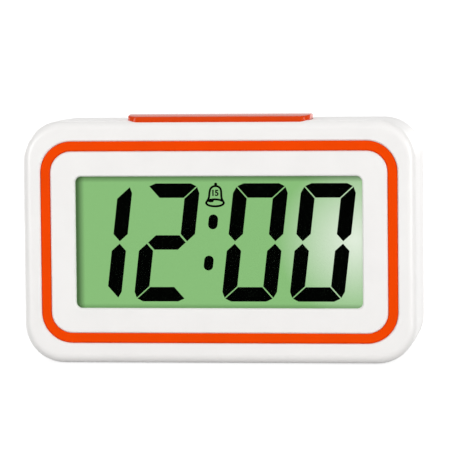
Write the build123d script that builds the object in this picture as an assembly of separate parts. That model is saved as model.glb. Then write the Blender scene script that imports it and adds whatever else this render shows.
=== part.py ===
from build123d import *
import os
from math import cos, pi, radians, sin, sqrt, tan

# A talking desk clock. A white case leans back on a flat foot. Its face carries an inlaid orange ring
# and a recessed, backlit liquid-crystal display. A long orange bar on top speaks the time when pressed.
# Every piece is drawn upright, with the face in the X-Z plane and depth along +Y, and then the whole
# clock is leaned back and set on its foot. Lengths are in millimetres and angles in degrees.

# Face, worked outwards from the window
window_width = 95.0
window_height = 43.5
window_corner_radius = 2.0
panel_border = 8.3
ring_band = 3.2
ring_corner_radius = 10.2
ring_depth = 1.2
ring_sink = 0.15
ring_pin_radius = 0.9
ring_pin_stake = 0.8
ring_pin_inset = 9.0
lip_bevel = 0.4
frame_side = 6.0
frame_end = 6.75

# Case
case_depth = 40.0
case_corner_radius = 13.0
case_wall = 2.2
face_wall = 2.4
front_edge_radius = 3.0
rear_edge_radius = 4.0
rear_draft = 0.5
lean = 8.0
foot_start = 6.0
reveal = 0.2
tongue_width = 1.0
tongue_height = 1.5
rim_land = 2.8

# Fits
fit_gap = 0.1
slide_gap = 0.25
core_gap = 0.05

# Screws
case_screw_radius = 1.25
case_screw_head_radius = 2.7
case_screw_head_height = 1.8
case_screw_reach = 6.5
case_screw_seat = 24.0
case_screw_inset_x = 9.7
case_screw_low = 12.5
case_screw_high = 10.0
case_boss_radius = 3.2
case_post_radius = 3.6
small_screw_radius = 0.95
small_screw_head_radius = 2.3
small_screw_head_height = 1.4
small_boss_radius = 2.7
board_screw_reach = 4.5
board_screw_inset = 3.0
board_screw_spread = 36.0

# Talk bar
bar_length = 60.4
bar_depth = 14.7
bar_corner_radius = 3.6
bar_crown = 0.7
bar_edge_bevel = 0.3
bar_setback = 1.5
bar_proud = 1.9
bar_wall = 1.8
bar_travel = 1.2
bar_flange = 1.3
bar_flange_thickness = 1.4
leg_spacing = 44.0
leg_radius = 1.7
leg_head_radius = 2.3
leg_tip_radius = 1.2
leg_head_height = 2.0
leg_head_gap = 0.2
spring_room = 7.4
spring_turns = 4
spring_radius = 2.7
spring_wire = 0.3
spring_sides = 4
shelf_width = 12.0
shelf_thickness = 1.8
post_width = 4.0
post_depth = 2.4

# Display stack, front to back
lens_thickness = 1.0
lens_lap = 2.5
gasket_thickness = 0.3
gasket_setback = 0.8
glass_thickness = 1.1
cell_gap = 0.1
seal_width = 1.2
lcd_border = 2.2
ledge_height = 2.6
diffuser_thickness = 0.2
guide_thickness = 3.0
reflector_thickness = 0.2
holder_wall = 1.5
strip_end_gap = 2.7
strip_inset = 0.2
lamp_width = 1.4
lamp_depth = 2.8
lamp_height = 3.0
lamp_gap = 0.2

# Digits
digit_height = 39.0
digit_space = 4.32
digit_bar = 4.75
digit_gap = 0.4
digit_corner = 3.2
digit_slant = 6.7
digit_drop = 0.3
colon_room = 11.16
row_margin = 2.8
row_shift = -2.95
colon_offset = 6.8
colon_width = 3.1
colon_height = 4.9

# Main board
board_thickness = 1.6
board_side_gap = 2.8
board_top_margin = 0.7
board_bottom_margin = 1.0
notch_gap = 0.5
blob_radius = 7.0
blob_height = 1.8
blob_drop = 6.0
crystal_radius = 1.0
crystal_length = 6.0
crystal_offset = 14.0
capacitor_radius = 2.5
capacitor_height = 7.0
capacitor_offset = 21.0
capacitor_pitch = 7.5
capacitor_rise = 14.0
chip_length = 2.0
chip_width = 1.25
chip_height = 0.6
chip_count = 5
chip_rows = 2
chip_pitch = 4.0
talk_switch_width = 6.2
talk_switch_depth = 4.4
talk_switch_height = 6.0
talk_switch_drop = 0.2
talk_plunger_radius = 1.5
talk_plunger_proud = 1.6
plunger_engagement = 1.0
plunger_gap = 0.15

# Set buttons and key board
key_radius = 3.5
key_pitch = 18.0
key_proud = 0.5
key_recess = 0.6
key_panel_height = 11.0
key_flange_radius = 4.7
key_flange_thickness = 1.0
key_travel = 0.6
key_edge_bevel = 0.5
key_rise = 20.0
key_switch_side = 6.0
key_switch_height = 3.5
key_plunger_radius = 1.5
key_plunger_proud = 1.5
key_board_height = 13.0
key_board_margin = 6.0
key_post_radius = 2.6
key_screw_reach = 4.0

# Loudspeaker
speaker_radius = 16.0
speaker_side = 27.0
speaker_drop = 8.0
speaker_rim = 0.8
speaker_seat_height = 2.0
speaker_seat_width = 1.6
speaker_wall = 1.2
speaker_depth = 4.4
basket_floor_radius = 10.0
magnet_radius = 8.0
magnet_height = 4.2
cone_thickness = 0.4
cone_depth = 3.0
cap_radius = 4.2
speaker_screw_offset = 2.4
speaker_post_radius = 2.2
speaker_screw_head_radius = 3.2
speaker_screw_reach = 3.2
terminal_width = 8.0
terminal_reach = 3.0
terminal_thickness = 0.8
grille_radius = 13.4
grille_slots = 7
grille_pitch = 3.6
grille_slot = 1.8

# Battery compartment
cell_radius = 5.25
cell_length = 44.5
cell_nub_radius = 1.9
cell_nub_height = 1.0
cell_space = 0.6
cell_rest = 0.15
cell_spring_length = 4.6
cell_spring_turns = 3
cell_spring_base = 3.4
cell_spring_tip = 1.8
cell_spring_wire = 0.35
cell_spring_sides = 6
plate_thickness = 0.4
plate_width = 8.0
plate_height = 8.6
tab_width = 2.0
tab_reach = 2.2
bay_wall = 1.4
bay_clear = 0.4
bay_right = 22.8
bay_drop = 10.0
door_thickness = 1.6
door_lap = 1.2
door_corner_radius = 2.0
hook_spacing = 30.0
hook_width = 8.0
hook_thickness = 1.1
hook_root = 1.3
hook_reach = 0.9
hook_swing = 0.9
latch_width = 10.0
latch_length = 6.0
latch_slit = 0.9
ridge_count = 3
ridge_pitch = 1.5
ridge_radius = 0.35
thumb_radius = 7.0
thumb_depth = 1.1

# Wires
lead_radius = 0.55
lead_bend = 2.2
lead_sides = 6
ribbon_width = 7.0
ribbon_thickness = 0.8
ribbon_bend = 3.0
ribbon_drop = 9.0

# Places worked out from the sizes above
panel_width = window_width + 2 * panel_border
panel_height = window_height + 2 * panel_border
ring_width = panel_width + 2 * ring_band
ring_height = panel_height + 2 * ring_band
case_width = ring_width + 2 * frame_side
case_height = ring_height + 2 * frame_end
middle = case_height / 2
front_depth = bar_setback + bar_depth + rim_land
back_inside = case_depth - case_wall
top_inside = case_height - case_wall

bar_middle = bar_setback + bar_depth / 2
bar_top = case_height + bar_proud
bar_inside = bar_top - bar_wall
skirt_bottom = top_inside - bar_flange_thickness
shelf_top = bar_inside - spring_room
shelf_bottom = shelf_top - shelf_thickness
shelf_back = bar_middle + leg_head_radius + shelf_thickness
leg_places = [-leg_spacing / 2, leg_spacing / 2]

lens_front = face_wall - lens_thickness
glass_front = face_wall + gasket_thickness
cell_front = glass_front + glass_thickness
cell_back = cell_front + cell_gap
glass_back = cell_back + glass_thickness
guide_front = glass_back + diffuser_thickness
guide_back = guide_front + guide_thickness
board_front = guide_back + reflector_thickness
board_back = board_front + board_thickness

lcd_right = window_width / 2 + lcd_border
lcd_top = middle + window_height / 2 + lcd_border
lcd_bottom = middle - window_height / 2 - lcd_border
ledge_bottom = lcd_bottom - ledge_height
holder_right = lcd_right + fit_gap + holder_wall
holder_top = lcd_top + fit_gap + holder_wall
holder_bottom = ledge_bottom - fit_gap - holder_wall
board_right = case_width / 2 - case_wall - board_side_gap
board_top = holder_top + board_top_margin
board_bottom = holder_bottom - board_bottom_margin
digit_middle = middle - digit_drop
digit_width = (window_width - row_margin - 2 * digit_space - colon_room) / 4
digit_pitch = digit_width + digit_space
hour_units_x = row_shift - (colon_room + digit_width) / 2
hour_tens_x = hour_units_x - digit_pitch
minute_tens_x = row_shift + (colon_room + digit_width) / 2
minute_units_x = minute_tens_x + digit_pitch
blob_z = middle - blob_drop

case_screw_x = case_width / 2 - case_screw_inset_x
case_screw_places = [
    (side * case_screw_x, height)
    for side in (-1, 1)
    for height in (case_screw_low, case_height - case_screw_high)
]
boss_meet = front_depth - tongue_height
board_screw_x = board_right - board_screw_inset
board_screw_places = [
    (side * board_screw_x, middle + end * board_screw_spread / 2) for side in (-1, 1) for end in (-1, 1)
]

talk_switch_top = board_top - talk_switch_drop
talk_switch_y = board_back + talk_switch_depth / 2
talk_plunger_top = talk_switch_top + talk_plunger_proud

key_height = middle + key_rise
key_names = ["mode", "hour", "minute", "alarm"]
key_places = {name: (index - (len(key_names) - 1) / 2) * key_pitch for index, name in enumerate(key_names)}
key_flange_front = back_inside - key_flange_thickness
key_switch_back = key_flange_front - key_plunger_proud
key_board_back = key_switch_back - key_switch_height
key_board_front = key_board_back - board_thickness
key_board_half = max(key_places.values()) + key_board_margin
key_screw_places = [(-key_pitch, key_height), (key_pitch, key_height)]

speaker_x = speaker_side - case_width / 2
speaker_z = middle - speaker_drop
speaker_front = back_inside - speaker_seat_height
rim_front = speaker_front - speaker_rim
basket_front = rim_front - speaker_depth
magnet_front = basket_front - magnet_height
speaker_screw_orbit = speaker_radius + speaker_screw_offset
speaker_screw_places = [(speaker_x, speaker_z + side * speaker_screw_orbit) for side in (-1, 1)]

door_seat = case_depth - door_thickness
bay_floor = door_seat - 2 * cell_radius - 2 * cell_rest - bay_clear
bay_middle = middle - bay_drop
bay_half = 2 * cell_radius + cell_space / 2 + bay_clear
bay_top = bay_middle + bay_half
bay_bottom = bay_middle - bay_half
bay_end = case_width / 2 - bay_right
bay_start = bay_end - cell_length - cell_spring_length - 2 * plate_thickness
cell_y = bay_floor + cell_rest + cell_radius
cell_low = bay_middle - cell_radius - cell_space / 2
cell_high = bay_middle + cell_radius + cell_space / 2
bay_centre = (bay_start + bay_end) / 2
door_bottom = bay_bottom - door_lap
door_top = bay_top + door_lap
hinge_y = case_depth - door_thickness / 2
hinge_z = door_bottom + door_thickness / 2
hook_places = [bay_centre - hook_spacing / 2, bay_centre + hook_spacing / 2]
hook_back = back_inside - slide_gap
hook_front = hook_back - hook_thickness

foot_y = (foot_start + case_depth) / 2
foot_z = (foot_y - foot_start) * tan(radians(lean))
stand = Rot(-lean, 0, 0) * Pos(0, -foot_y, -foot_z)


# Building blocks, all in the upright drawing frame
def slab(outline, front, back):
    """An outline drawn in X-Z, filling the depth from front to back."""
    return extrude(Plane.XZ.offset(-front) * outline, amount=front - back)


def block(left, right, front, back, bottom, top):
    """A box given by its six sides."""
    centre = Pos((left + right) / 2, (front + back) / 2, (bottom + top) / 2)
    return centre * Box(right - left, back - front, top - bottom)


def peg(x, z, radius, front, back):
    """A round pin along the depth."""
    return slab(Pos(x, z) * Circle(radius), front, back)


def column(outline, bottom, top):
    """An outline drawn in X-Y, filling the height from bottom to top."""
    return extrude(Plane.XY.offset(bottom) * outline, amount=top - bottom)


def turned(profile, x, z):
    """A closed profile of (radius, depth) points turned about an axis along the depth."""
    return Pos(x, 0, z) * revolve(make_face(Polyline(*profile, close=True)), axis=Axis.Y)


def case_outline(inset):
    """The rounded outline of the case, drawn in by an inset."""
    width = case_width - 2 * inset
    return Pos(0, middle) * RectangleRounded(width, case_height - 2 * inset, case_corner_radius - inset)


def face_outline(width, height, radius):
    """A rounded outline centred on the face."""
    return Pos(0, middle) * RectangleRounded(width, height, radius)


def ring_outline(outset):
    """The band of the accent ring, widened on both edges by an outset."""
    outer_corner = ring_corner_radius + outset
    outer = face_outline(ring_width + 2 * outset, ring_height + 2 * outset, outer_corner)
    inner_corner = ring_corner_radius - ring_band - outset
    return outer - face_outline(panel_width - 2 * outset, panel_height - 2 * outset, inner_corner)


def below_foot(raised=0):
    """The space under the flat underside, or under a plane raised above it."""
    up = (0, -sin(radians(lean)), cos(radians(lean)))
    ground = Plane(origin=(0, foot_start, 0), x_dir=(1, 0, 0), z_dir=up).offset(raised)
    return extrude(ground * Rectangle(2 * case_width, 4 * case_depth), amount=-case_height / 2)


def hollow(inset, front, back):
    """The straight-walled inside of the case, drawn in by an inset from the outside."""
    return slab(case_outline(inset), front, back) - below_foot(inset)


def tapered(inset, back):
    """The rear body of the case, narrowing with the draft from the parting face to its back."""
    start = Plane.XZ.offset(-front_depth) * case_outline(inset)
    return extrude(start, amount=front_depth - back, taper=rear_draft) - below_foot(inset)


def bar_outline(outset):
    """The plan of the talk bar, grown by an outset."""
    plan = RectangleRounded(bar_length + 2 * outset, bar_depth + 2 * outset, bar_corner_radius + outset)
    return Pos(0, bar_middle) * plan


def screw(x, z, seat, head_radius, head_height, radius, reach):
    """A pan-head screw driven towards the face, its head resting at the seat depth."""
    return peg(x, z, head_radius, seat, seat + head_height) + peg(x, z, radius, seat - reach, seat)


def tangent_arcs(start, start_way, end, end_way):
    """Two arcs that leave start along start_way and reach end along end_way."""
    span = end - start
    ways = start_way + end_way
    spread = 2 * (1 - start_way.dot(end_way))
    along = span.dot(ways)
    reach = (sqrt(along * along + spread * span.dot(span)) - along) / spread
    knee = (start + start_way * reach + end - end_way * reach) * 0.5
    second = Edge.make_tangent_arc(end, end_way * -1, knee)
    return [Edge.make_tangent_arc(start, start_way, knee), Edge.make_tangent_arc(knee, second % 1 * -1, end)]


def coil(name, base_radius, tip_radius, length, turns, wire, sides):
    """A wound spring standing on the origin along +Z, its wire swept through quarter-turn arcs."""
    rise = length - 2 * wire
    growth = tip_radius - base_radius
    arcs_per_turn = 4
    steps = arcs_per_turn * turns
    sweep_angle = 2 * pi * turns

    def place(share):
        radius = base_radius + growth * share
        angle = sweep_angle * share
        return Vector(radius * cos(angle), radius * sin(angle), wire + rise * share)

    def way(share):
        radius = base_radius + growth * share
        angle = sweep_angle * share
        along_x = growth * cos(angle) - radius * sweep_angle * sin(angle)
        along_y = growth * sin(angle) + radius * sweep_angle * cos(angle)
        return Vector(along_x, along_y, rise).normalized()

    edges = []
    for step in range(steps):
        here = step / steps
        there = (step + 1) / steps
        edges += tangent_arcs(place(here), way(here), place(there), way(there))
    points_per_turn = 24
    half_turn = points_per_turn // 2
    points = [place(index / (points_per_turn * turns)) for index in range(points_per_turn * turns + 1)]
    apart = [(far - near).length for index, near in enumerate(points) for far in points[index + half_turn :]]
    print(name, "least gap between turns", round(min(apart) - 2 * wire, 3))
    section = Plane(origin=place(0), z_dir=way(0)) * RegularPolygon(wire, sides)
    return sweep(section, path=Wire(edges))


def lead(points):
    """A thin insulated wire through a few points, with rounded bends."""
    path = FilletPolyline(*points, radius=lead_bend)
    start = Plane(origin=path @ 0, z_dir=path % 0)
    return sweep(start * RegularPolygon(lead_radius, lead_sides), path=path)


# Case
def front_case():
    shell = slab(case_outline(0), 0, front_depth)
    shell = fillet(shell.faces().sort_by(Axis.Y)[0].edges(), front_edge_radius)
    shell -= below_foot()
    shell = chamfer(shell.faces().sort_by(Axis.Y)[-1].edges(), reveal)
    shell -= hollow(case_wall, face_wall, front_depth)
    shell -= hollow(case_wall - tongue_width, front_depth - tongue_height, front_depth)
    shell -= slab(face_outline(window_width, window_height, window_corner_radius), 0, face_wall)
    shell -= slab(ring_outline(fit_gap), 0, ring_depth)
    lands = shell.faces().filter_by_position(Axis.Y, -core_gap, core_gap)
    lands = lands.sort_by(lambda face: face.bounding_box().size.X)
    shell = chamfer(lands[0].edges() + lands[-1].inner_wires()[0].edges(), lip_bevel)
    pocket_corner = window_corner_radius + lens_lap
    pocket = face_outline(window_width + 2 * lens_lap, window_height + 2 * lens_lap, pocket_corner)
    shell -= slab(pocket, lens_front, face_wall)
    for x, z in ring_pin_places():
        shell -= peg(x, z, ring_pin_radius + fit_gap, ring_depth, face_wall)
    for x, z in case_screw_places:
        shell += peg(x, z, case_boss_radius, face_wall, boss_meet)
        pilot_end = boss_meet - case_screw_reach - core_gap
        shell -= peg(x, z, case_screw_radius + core_gap, pilot_end, boss_meet)
    for x, z in board_screw_places:
        shell += peg(x, z, small_boss_radius, face_wall, board_front)
        pilot_end = board_front + board_thickness - board_screw_reach - core_gap
        shell -= peg(x, z, small_screw_radius + core_gap, pilot_end, board_front)
    for x in leg_places:
        left = x - shelf_width / 2
        shell += block(left, left + shelf_width, face_wall, shelf_back, shelf_bottom, shelf_top)
        hole = Pos(x, bar_middle) * Circle(leg_radius + slide_gap)
        shell -= column(hole, shelf_bottom, shelf_top)
    shell -= column(bar_outline(slide_gap), skirt_bottom - bar_travel - slide_gap, bar_top)
    return shell


def ring_pin_places():
    """Six pins on the centre line of the ring: two above, two below and one at each side."""
    side = (ring_width - ring_band) / 2
    end = (ring_height - ring_band) / 2
    across = ring_width / 2 - ring_corner_radius - ring_pin_inset
    sides = [(-side, middle), (side, middle)]
    return [(x, middle + z) for x in (-across, across) for z in (-end, end)] + sides


def accent_ring():
    ring = slab(ring_outline(0), ring_sink, ring_depth)
    ring = chamfer(ring.faces().sort_by(Axis.Y)[0].edges(), lip_bevel)
    for x, z in ring_pin_places():
        ring += peg(x, z, ring_pin_radius, ring_depth, face_wall + ring_pin_stake)
    return ring


def rear_case():
    start = Plane.XZ.offset(-front_depth) * case_outline(reveal)
    shell = extrude(start, amount=front_depth - case_depth, taper=rear_draft)
    shell = fillet(shell.faces().sort_by(Axis.Y)[-1].edges(), rear_edge_radius)
    shell -= below_foot()
    shell -= tapered(case_wall, back_inside)
    tongue_inset = case_wall - tongue_width + fit_gap
    tongue = hollow(tongue_inset, front_depth - tongue_height + fit_gap, front_depth)
    shell += tongue - hollow(case_wall, 0, case_depth)
    shell += case_posts() + speaker_seat() + key_posts() + battery_bay()
    for x, z in case_screw_places:
        shell -= peg(x, z, case_screw_head_radius + slide_gap, case_screw_seat, case_depth)
        shell -= peg(x, z, case_screw_radius + slide_gap, boss_meet, case_screw_seat)
    for x, z in speaker_screw_places:
        pilot_end = rim_front + speaker_screw_reach + core_gap
        shell -= peg(x, z, small_screw_radius + core_gap, rim_front, pilot_end)
    for x, z in key_screw_places:
        pilot_end = key_board_front + key_screw_reach + core_gap
        shell -= peg(x, z, small_screw_radius + core_gap, key_board_back, pilot_end)
    shell -= grille() + key_openings() + bay_openings()
    return shell


def case_posts():
    """Four hollow posts that meet the bosses of the front case."""
    return Part() + [peg(x, z, case_post_radius, boss_meet, back_inside) for x, z in case_screw_places]


def speaker_seat():
    """A raised ring with a low wall round the loudspeaker's rim, and a post for each of its screws."""
    wall_inside = speaker_radius + fit_gap
    wall = Circle(wall_inside + speaker_wall) - Circle(wall_inside)
    seat = Circle(wall_inside + speaker_wall) - Circle(speaker_radius - speaker_seat_width)
    place = Pos(speaker_x, speaker_z)
    rings = slab(place * seat, speaker_front, back_inside) + slab(place * wall, rim_front, speaker_front)
    posts = [peg(x, z, speaker_post_radius, rim_front, back_inside) for x, z in speaker_screw_places]
    return rings + posts - peg(speaker_x, speaker_z, wall_inside, rim_front, speaker_front)


def key_posts():
    """Two posts that carry the key board."""
    return Part() + [peg(x, z, key_post_radius, key_board_back, back_inside) for x, z in key_screw_places]


def battery_bay():
    """The outside of the battery compartment, standing inwards from the back wall."""
    left = bay_start - bay_wall
    right = bay_end + bay_wall
    return block(left, right, bay_floor - bay_wall, back_inside, bay_bottom - bay_wall, bay_top + bay_wall)


def grille():
    """Round-ended sound slots that fill a circle in front of the loudspeaker."""
    slots = Part()
    for index in range(grille_slots):
        rise = (index - (grille_slots - 1) / 2) * grille_pitch
        chord = 2 * sqrt(grille_radius**2 - rise**2)
        slot = Pos(speaker_x, speaker_z + rise) * SlotOverall(chord, grille_slot)
        slots += slab(slot, back_inside, case_depth)
    return slots


def key_openings():
    """The shallow panel round the set buttons and a hole for each button."""
    length = (len(key_names) - 1) * key_pitch + key_panel_height
    outline = Pos(0, key_height) * SlotOverall(length, key_panel_height)
    panel = slab(outline, case_depth - key_recess, case_depth)
    holes = [peg(x, key_height, key_radius + slide_gap, back_inside, case_depth) for x in key_places.values()]
    return panel + holes


def bay_openings():
    """The cell pocket, the door's recess, its thumb notch, the hook slots and the slits for contact tabs."""
    pocket = block(bay_start, bay_end, bay_floor, case_depth, bay_bottom, bay_top)
    recess = slab(door_outline(slide_gap), door_seat, case_depth)
    hinge_left = bay_start - door_lap - slide_gap
    hinge_right = bay_end + door_lap + slide_gap
    hinge_low = door_bottom - slide_gap
    hinge_high = hinge_z + door_thickness / 2
    recess += block(hinge_left, hinge_right, door_seat - fit_gap, case_depth, hinge_low, hinge_high)
    thumb = slab(Pos(bay_centre, door_top) * Circle(thumb_radius), case_depth - thumb_depth, case_depth)
    slots = Part()
    for x in hook_places:
        left = x - hook_width / 2 - slide_gap
        right = x + hook_width / 2 + slide_gap
        slots += block(left, right, hook_front - hook_swing, back_inside, bay_bottom - bay_wall, bay_bottom)
    for height in (cell_low, cell_high):
        bottom = height - tab_width / 2 - fit_gap
        top = height + tab_width / 2 + fit_gap
        left = bay_end - plate_thickness - fit_gap
        slots += block(left, bay_end, bay_floor - bay_wall, bay_floor, bottom, top)
    return pocket + recess + thumb + slots


def door_outline(outset):
    """The battery door's outline, grown by an outset: square at its hinge edge, rounded at its latch."""
    width = bay_end - bay_start + 2 * (door_lap + outset)
    height = door_top - door_bottom + 2 * outset
    rounded = Pos(bay_centre, bay_middle) * RectangleRounded(width, height, door_corner_radius)
    hinge_end = Rectangle(width, 2 * door_corner_radius)
    return rounded + Pos(bay_centre, door_bottom - outset + door_corner_radius) * hinge_end


def battery_door():
    plate = slab(door_outline(0), door_seat, case_depth)
    width = bay_end - bay_start + 2 * door_lap
    left = bay_centre - width / 2
    plate -= block(left, left + width, door_seat, case_depth, door_bottom, hinge_z)
    plate += Pos(bay_centre, hinge_y, hinge_z) * Rot(0, 90, 0) * Cylinder(door_thickness / 2, width)
    for side in (-1, 1):
        slit_x = bay_centre + side * (latch_width + latch_slit) / 2
        slit_left = slit_x - latch_slit / 2
        slit_bottom = door_top - latch_length
        plate -= block(slit_left, slit_left + latch_slit, door_seat, case_depth, slit_bottom, door_top)
    for index in range(ridge_count):
        ridge_z = door_top - (index + 1) * ridge_pitch
        ridge_length = latch_width - 2 * ridge_pitch
        ridge = Rot(0, 90, 0) * Cylinder(ridge_radius, ridge_length)
        plate += Pos(bay_centre, case_depth, ridge_z) * ridge
    for x in hook_places:
        left = x - hook_width / 2
        right = x + hook_width / 2
        root_bottom = bay_bottom + slide_gap
        root_top = root_bottom + hook_root
        plate += block(left, right, hook_front, door_seat, root_bottom, root_top)
        tip = bay_bottom - bay_wall - hook_reach
        plate += block(left, right, hook_front, hook_back, tip, root_bottom)
    return plate


def case_screws():
    sizes = (case_screw_head_radius, case_screw_head_height, case_screw_radius)
    reach = case_screw_reach + case_screw_seat - boss_meet
    return [screw(x, z, case_screw_seat, *sizes, reach) for x, z in case_screw_places]


# Talk bar and its switch
def talk_button():
    crown_radius = ((bar_depth / 2) ** 2 + bar_crown**2) / (2 * bar_crown)
    crown = Plane.YZ * Pos(bar_middle, bar_top - crown_radius) * Circle(crown_radius)
    bar = column(bar_outline(0), skirt_bottom, bar_top) & extrude(crown, amount=bar_length, both=True)
    bar = chamfer(bar.faces().sort_by(Axis.Z)[-1].edges(), bar_edge_bevel)
    flange = column(bar_outline(slide_gap + bar_flange), skirt_bottom, top_inside)
    flange -= block(-bar_length, bar_length, -case_depth, face_wall + slide_gap, skirt_bottom, top_inside)
    bar += flange
    bar -= column(bar_outline(-bar_wall), skirt_bottom, bar_inside)
    head_top = shelf_bottom - leg_head_gap
    head = Cone(leg_tip_radius, leg_head_radius, leg_head_height)
    for x in leg_places:
        bar += column(Pos(x, bar_middle) * Circle(leg_radius), head_top, bar_inside)
        bar += Pos(x, bar_middle, head_top - leg_head_height / 2) * head
    half = post_width / 2
    front = talk_switch_y - post_depth / 2
    bar += block(-half, half, front, front + post_depth, talk_plunger_top, bar_inside)
    return bar


def talk_springs():
    sizes = (spring_radius, spring_radius, spring_room, spring_turns, spring_wire, spring_sides)
    wound = coil("talk spring", *sizes)
    return [Pos(x, bar_middle, shelf_top) * wound for x in leg_places]


def talk_switch_body():
    half = talk_switch_width / 2
    back = board_back + talk_switch_depth
    body = block(-half, half, board_back, back, talk_switch_top - talk_switch_height, talk_switch_top)
    bore_depth = plunger_engagement + bar_travel + slide_gap
    bore = Pos(0, talk_switch_y) * Circle(talk_plunger_radius + plunger_gap)
    return body - column(bore, talk_switch_top - bore_depth, talk_switch_top)


def talk_switch_plunger():
    pin = Pos(0, talk_switch_y) * Circle(talk_plunger_radius)
    return column(pin, talk_switch_top - plunger_engagement, talk_plunger_top)


# Display
def window_lens():
    width = window_width + 2 * (lens_lap - fit_gap)
    height = window_height + 2 * (lens_lap - fit_gap)
    return slab(face_outline(width, height, window_corner_radius + lens_lap - fit_gap), lens_front, face_wall)


def lcd_plate(front, back, bottom, shrink=0):
    """A plate that covers the display from a given lower edge up."""
    right = lcd_right - shrink
    return block(-right, right, front, back, bottom + shrink, lcd_top - shrink)


def lcd_gasket():
    outer = lcd_plate(face_wall, glass_front, lcd_bottom)
    width = window_width + 2 * gasket_setback
    height = window_height + 2 * gasket_setback
    return outer - slab(face_outline(width, height, window_corner_radius), face_wall, glass_front)


def lcd_seal():
    outer = lcd_plate(cell_front, cell_back, lcd_bottom)
    return outer - lcd_plate(cell_front, cell_back, lcd_bottom, seal_width)


def slanted(points, centre_x):
    """A cell of the display, leaning with the digits."""
    lean_rate = tan(radians(digit_slant))
    placed = [(centre_x + x + z * lean_rate, digit_middle + z) for x, z in points]
    return slab(make_face(Polyline(*placed, close=True)), cell_front, cell_back)


def upright_segment(side, end):
    """One of the four upright strokes of a digit: side is left or right, end is upper or lower."""
    outer = digit_width / 2
    inner = outer - digit_bar
    reach = digit_height / 2
    tip = digit_gap
    shoulder = tip + digit_bar / 2
    gap = digit_gap / sqrt(2)
    bevel = digit_corner * (1 - sqrt(0.5))
    points = [
        (outer, reach - digit_corner),
        (outer - bevel, reach - bevel - gap),
        (inner, reach - digit_bar - gap),
        (inner, shoulder),
        (outer - digit_bar / 2, tip),
        (outer, shoulder),
    ]
    return [(side * x, end * z) for x, z in points]


def level_segment(end):
    """The top or bottom stroke of a digit."""
    outer = digit_width / 2
    inner = outer - digit_bar
    reach = digit_height / 2
    gap = digit_gap / sqrt(2)
    bevel = digit_corner * (1 - sqrt(0.5))
    half = [
        (outer - digit_corner, reach),
        (outer - bevel - gap, reach - bevel),
        (inner - gap, reach - digit_bar),
    ]
    points = half + [(-x, z) for x, z in reversed(half)]
    return [(x, end * z) for x, z in points]


def middle_segment():
    """The stroke across the middle of a digit."""
    tip = digit_width / 2 - digit_bar / 2 - digit_gap
    shoulder = tip - digit_bar / 2
    half = digit_bar / 2
    return [(-tip, 0), (-shoulder, half), (shoulder, half), (tip, 0), (shoulder, -half), (-shoulder, -half)]


def colon_dot(end):
    """One dot of the colon: a short round-ended stroke that leans with the digits."""
    rise = end * colon_offset
    place = Pos(row_shift + rise * tan(radians(digit_slant)), digit_middle + rise)
    stroke = place * Rot(0, 0, 90 - digit_slant) * SlotOverall(colon_height, colon_width)
    return slab(stroke, cell_front, cell_back)


def lcd_segments():
    right = [upright_segment(1, 1), upright_segment(1, -1)]
    left_low = upright_segment(-1, -1)
    left_high = upright_segment(-1, 1)
    level = [level_segment(1), level_segment(-1)]
    one = right
    two = [level[0], right[0], middle_segment(), left_low, level[1]]
    nought = right + level + [left_low, left_high]
    cells = []
    digits = [(one, hour_tens_x), (two, hour_units_x), (nought, minute_tens_x), (nought, minute_units_x)]
    for strokes, x in digits:
        cells += [slanted(stroke, x) for stroke in strokes]
    return cells + [colon_dot(end) for end in (1, -1)]


def lamp_notch():
    """The space round the backlight lamp at the right edge of the light guide."""
    half = lamp_height / 2 + lamp_gap
    left = lcd_right - fit_gap - lamp_width - lamp_gap
    return block(left, lcd_right, guide_front, board_front, middle - half, middle + half)


def light_guide():
    return lcd_plate(guide_front, guide_back, lcd_bottom, fit_gap) - lamp_notch()


def reflector_sheet():
    return lcd_plate(guide_back, board_front, lcd_bottom, fit_gap) - lamp_notch()


def backlight_lamp():
    right = lcd_right - fit_gap
    left = right - lamp_width
    half = lamp_height / 2
    return block(left, right, board_front - lamp_depth, board_front, middle - half, middle + half)


def contact_strip():
    half = lcd_right - strip_end_gap
    return block(-half, half, cell_front, board_front, ledge_bottom + strip_inset, lcd_bottom - strip_inset)


def lcd_holder():
    frame = block(-holder_right, holder_right, face_wall, board_front, holder_bottom, holder_top)
    right = lcd_right + fit_gap
    bottom = ledge_bottom - fit_gap
    return frame - block(-right, right, face_wall, board_front, bottom, lcd_top + fit_gap)


# Main board
def main_board():
    board = block(-board_right, board_right, board_front, board_back, board_bottom, board_top)
    reach = case_boss_radius + notch_gap
    for side in (-1, 1):
        left, right = sorted((side * (case_screw_x - reach), side * case_width))
        board -= block(left, right, board_front, board_back, 0, case_screw_low + reach)
        notch_bottom = case_height - case_screw_high - reach
        board -= block(left, right, board_front, board_back, notch_bottom, case_height)
    for x, z in board_screw_places:
        board -= peg(x, z, small_screw_radius + slide_gap, board_front, board_back)
    for x in leg_places:
        reach = leg_head_radius + notch_gap
        board -= block(x - reach, x + reach, board_front, board_back, board_top - leg_head_height, board_top)
    return board


def board_screws():
    sizes = (small_screw_head_radius, small_screw_head_height, small_screw_radius, board_screw_reach)
    return [screw(x, z, board_back, *sizes) for x, z in board_screw_places]


def chip_blob():
    sphere_radius = (blob_radius**2 + blob_height**2) / (2 * blob_height)
    ball = Pos(0, board_back + blob_height - sphere_radius, blob_z) * Sphere(sphere_radius)
    return ball & peg(0, blob_z, blob_radius, board_back, board_back + blob_height)


def watch_crystal():
    can = Rot(0, 90, 0) * Cylinder(crystal_radius, crystal_length)
    return Pos(-crystal_offset, board_back + crystal_radius, blob_z) * can


def capacitors():
    places = [capacitor_offset, capacitor_offset + capacitor_pitch]
    height = middle + capacitor_rise
    return [peg(x, height, capacitor_radius, board_back, board_back + capacitor_height) for x in places]


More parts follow.
